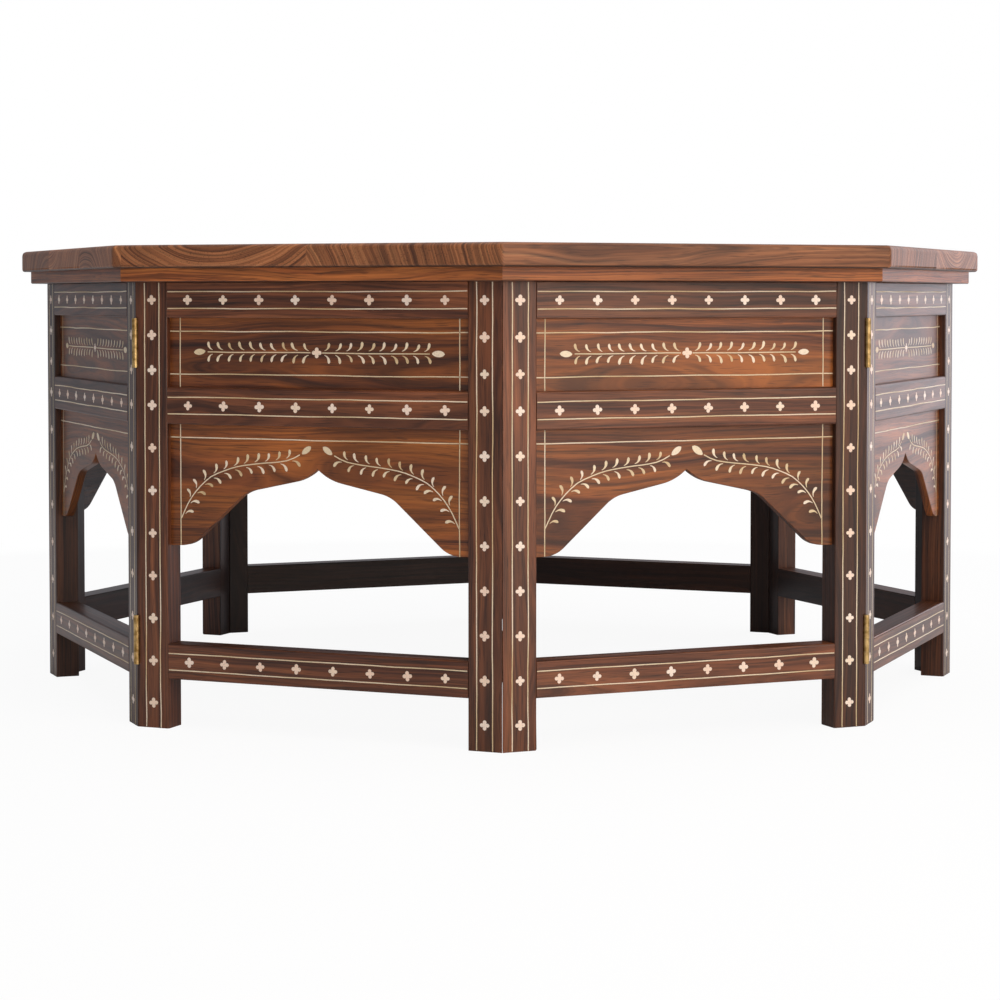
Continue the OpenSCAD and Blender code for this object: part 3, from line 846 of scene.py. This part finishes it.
def leaf_drawing():
    """The inlay of one leaf, in millimetres from the foot of its middle line."""
    drawing = Drawing()
    stile_middle = BAY + 16
    stile_lines = 7.6  # from the flowers to the stringing
    foot_flower = 23.5
    heights = (steps(middle_of(TOP_RAIL), middle_of(MIDDLE_RAIL), 4)
               + steps(middle_of(MIDDLE_RAIL), middle_of(STRETCHER), 7)[1:] + [foot_flower])
    for side in (-1, 1):
        for aside in (-stile_lines, stile_lines):
            x = side * (stile_middle + aside)
            drawing.line([(x, 0.5, 0), (x, LEAF_H / MM - 0.5, 0)])
        for height in heights:
            drawing.mark(side * stile_middle, height, 0, FLOWER)
    flower_pitch, rail_lines = 37, 7.8
    for rail in RAILS:
        for aside in (-rail_lines, rail_lines):
            y = middle_of(rail) + aside
            drawing.line([(-BAY + 0.6, y, 0), (BAY - 0.6, y, 0)])
        for i in range(SIDES):
            drawing.mark((i - (SIDES - 1) / 2) * flower_pitch, middle_of(rail), 0, FLOWER)

    face = -RECESS / MM
    gap_low, gap_high = MIDDLE_RAIL[1], TOP_RAIL[0]
    border = BAY - BESIDE_STILE
    for y in (gap_low + ABOVE_RAIL, gap_high - BELOW_RAIL):
        drawing.line([(-BAY, y, face), (BAY, y, face)])
    for side in (-1, 1):
        drawing.line([(side * border, gap_low, face), (side * border, gap_high, face)])
    y = (gap_low + gap_high) / 2 + 0.6
    drawing.mark(0, y, face, FLOWER)
    # A spray lies on each side of the flower, and ends in a bud.
    for side in (-1, 1):
        leaves = steps(2, 101, 10)
        spray(drawing, [(side * 6, y), (side * 112, y)], face, leaves, leaves)
        drawing.mark(side * 120.5, y, face, BUD, 0 if side > 0 else math.pi)

    tip, crown = TIP_Z / MM, MIDDLE_RAIL[0]
    drawing.line([(-BAY, crown - BELOW_RAIL, face), (BAY, crown - BELOW_RAIL, face)])
    # The stem of the left spray, from the stringing by the stile to the bud at the arch's point.
    stem = [(-140.5, 25), (-133, 40), (-123, 53), (-110, 64), (-99, 69), (-86, 73.4), (-73, 76),
            (-58, 78), (-42, 79.7), (-28, 82.3), (-17.5, 87.3)]
    for side in (-1, 1):
        drawing.line([(side * border, tip, face), (side * border, crown, face)])
        bent = [(-side * x, tip + y) for x, y in stem]
        above, below = steps(22, 132, 11), steps(6, 137, 12)
        if side < 0:
            spray(drawing, bent, face, above, below)
        else:
            spray(drawing, bent, face, below, above)
        bud_turn = math.pi - BUD_RISE if side > 0 else BUD_RISE
        drawing.mark(side * 10.6, tip + 91.4, face, BUD, bud_turn)
    return drawing


def top_drawing():
    """Two bands of stringing round the top with flowers between them, in millimetres."""
    drawing = Drawing()
    outer, inner = (TOP_FLAT / MM - inset for inset in TOP_BANDS)
    for i in range(SIDES):
        turn = i * 2 * HALF_TURN
        def placed(along, flat):
            return (flat * math.sin(turn) + along * math.cos(turn),
                    -flat * math.cos(turn) + along * math.sin(turn))
        for flat in (outer, inner):
            half = flat * math.tan(HALF_TURN)
            drawing.line([(*placed(-half, flat), 0), (*placed(half, flat), 0)])
        middle = (outer + inner) / 2
        half = middle * math.tan(HALF_TURN)
        end = half - half / FLOWERS_ON_TOP
        for along in steps(-end, end, FLOWERS_ON_TOP):
            drawing.mark(*placed(along, middle), 0, FLOWER, turn)
    return drawing


TREE = inlay_tree()
FLAT_TO_LEAF = Matrix.Rotation(RIGHT_ANGLE, 4, "X")
for k in LEAVES:
    mesh = grow(TREE, leaf_drawing().mesh(), {"Seed": 11 * k, "Bone": BONE},
                leaf_place(k) @ FLAT_TO_LEAF)
    show(f"bone_inlay_{k}", mesh, None, f"leaf_{k}", "bone_inlay")
sunk_top = Matrix.Translation((0, 0, TOP_HIGH.z - INLAY_PROUD))
mesh = grow(TREE, top_drawing().mesh(), {"Seed": 5, "Bone": BONE}, sunk_top)
show("bone_inlay_top", mesh, None, "top", "bone_inlay")


# ---- brass ----

for name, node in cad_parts.items():
    if name.startswith(("hinge_plates", "hinge_pins")):
        node.material_slots[0].material = HINGE_BRASS
    elif name.startswith(("hinge_screws", "top_screws")):
        node.material_slots[0].material = SCREW_BRASS


# ---- studio ----

LIT_MIDDLE = Vector((0, 0, 0.25))  # what the lamps face


def soft_box(name, azimuth, elevation, distance, size, radiance, colour):
    """A square soft light that faces the table, given by where it stands round it."""
    light = bpy.data.lights.new(name, "AREA")
    light.size = size
    light.energy = radiance * math.pi * size * size  # a lamp of that radiance, in watts
    light.color = paint(colour)[:3]
    lamp = bpy.data.objects.new(name, light)
    bpy.context.scene.collection.objects.link(lamp)
    turn, rise = math.radians(azimuth), math.radians(elevation)
    level = math.cos(rise)
    away = Vector((math.cos(turn) * level, math.sin(turn) * level, math.sin(rise)))
    lamp.location = LIT_MIDDLE + distance * away
    lamp.rotation_euler = away.to_track_quat("Z", "Y").to_euler()
    lamp.visible_camera = False


soft_box("key", -37, 25, 3.4, 3.2, 2.7, "#fff4e8")
soft_box("right_rear", 62, 14, 3.0, 2.4, 1.7, "#f0ecf4")
soft_box("overhead", 0, 88, 3.0, 2.6, 1.6, "#ffffff")

FLOOR_HALF = 30
card = bpy.data.meshes.new("floor")
card.from_pydata([(x * FLOOR_HALF, y * FLOOR_HALF, 0)
                  for x, y in ((-1, -1), (1, -1), (1, 1), (-1, 1))], [], [(0, 1, 2, 3)])
card.materials.append(studio_floor())
floor = bpy.data.objects.new("floor", card)
bpy.context.scene.collection.objects.link(floor)

CAMERA_AZIMUTH = math.radians(-67.7)
world = bpy.data.worlds.new("white_studio")
bpy.context.scene.world = world
world.use_nodes = True
sky = world.node_tree
sky.nodes.clear()
# The walls are white all round, and dimmer on the side the table is seen from.
heading = add_node(sky, "ShaderNodeTexCoord").outputs["Generated"]
forward = add_node(sky, "ShaderNodeVectorMath",
                   {0: heading, 1: (math.cos(CAMERA_AZIMUTH), math.sin(CAMERA_AZIMUTH), 0)},
                   operation="DOT_PRODUCT").outputs["Value"]
walls = add_node(sky, "ShaderNodeMapRange",
                 {"Value": forward, "From Min": -0.5, "From Max": 0.7,
                  "To Min": 0.42, "To Max": 0.3}).outputs[0]
lit = add_node(sky, "ShaderNodeBackground", {"Color": paint("#f2f6ff"), "Strength": walls})
seen = add_node(sky, "ShaderNodeBackground", {"Color": paint("#ffffff"), "Strength": 1.0})
is_seen = add_node(sky, "ShaderNodeLightPath").outputs["Is Camera Ray"]
both = add_node(sky, "ShaderNodeMixShader", {0: is_seen, 1: lit.outputs[0], 2: seen.outputs[0]})
add_node(sky, "ShaderNodeOutputWorld", {"Surface": both.outputs[0]})
bpy.context.scene.view_settings.view_transform = "Standard"


# ---- camera ----

SENSOR = 36
camera = bpy.data.cameras.new("camera")
camera.sensor_width = SENSOR
camera.lens = 91.8
camera.shift_y = -0.10
camera.clip_end = 100
viewer = bpy.data.objects.new("camera", camera)
bpy.context.scene.collection.objects.link(viewer)
viewer.location = (1.0300, -2.5146, 0.4028)
# It looks 2.33 degrees down, and 0.22 degrees to the right of the corner it faces.
viewer.rotation_euler = (RIGHT_ANGLE - math.radians(2.33), 0, HALF_TURN - math.radians(0.22))
bpy.context.scene.camera = viewer
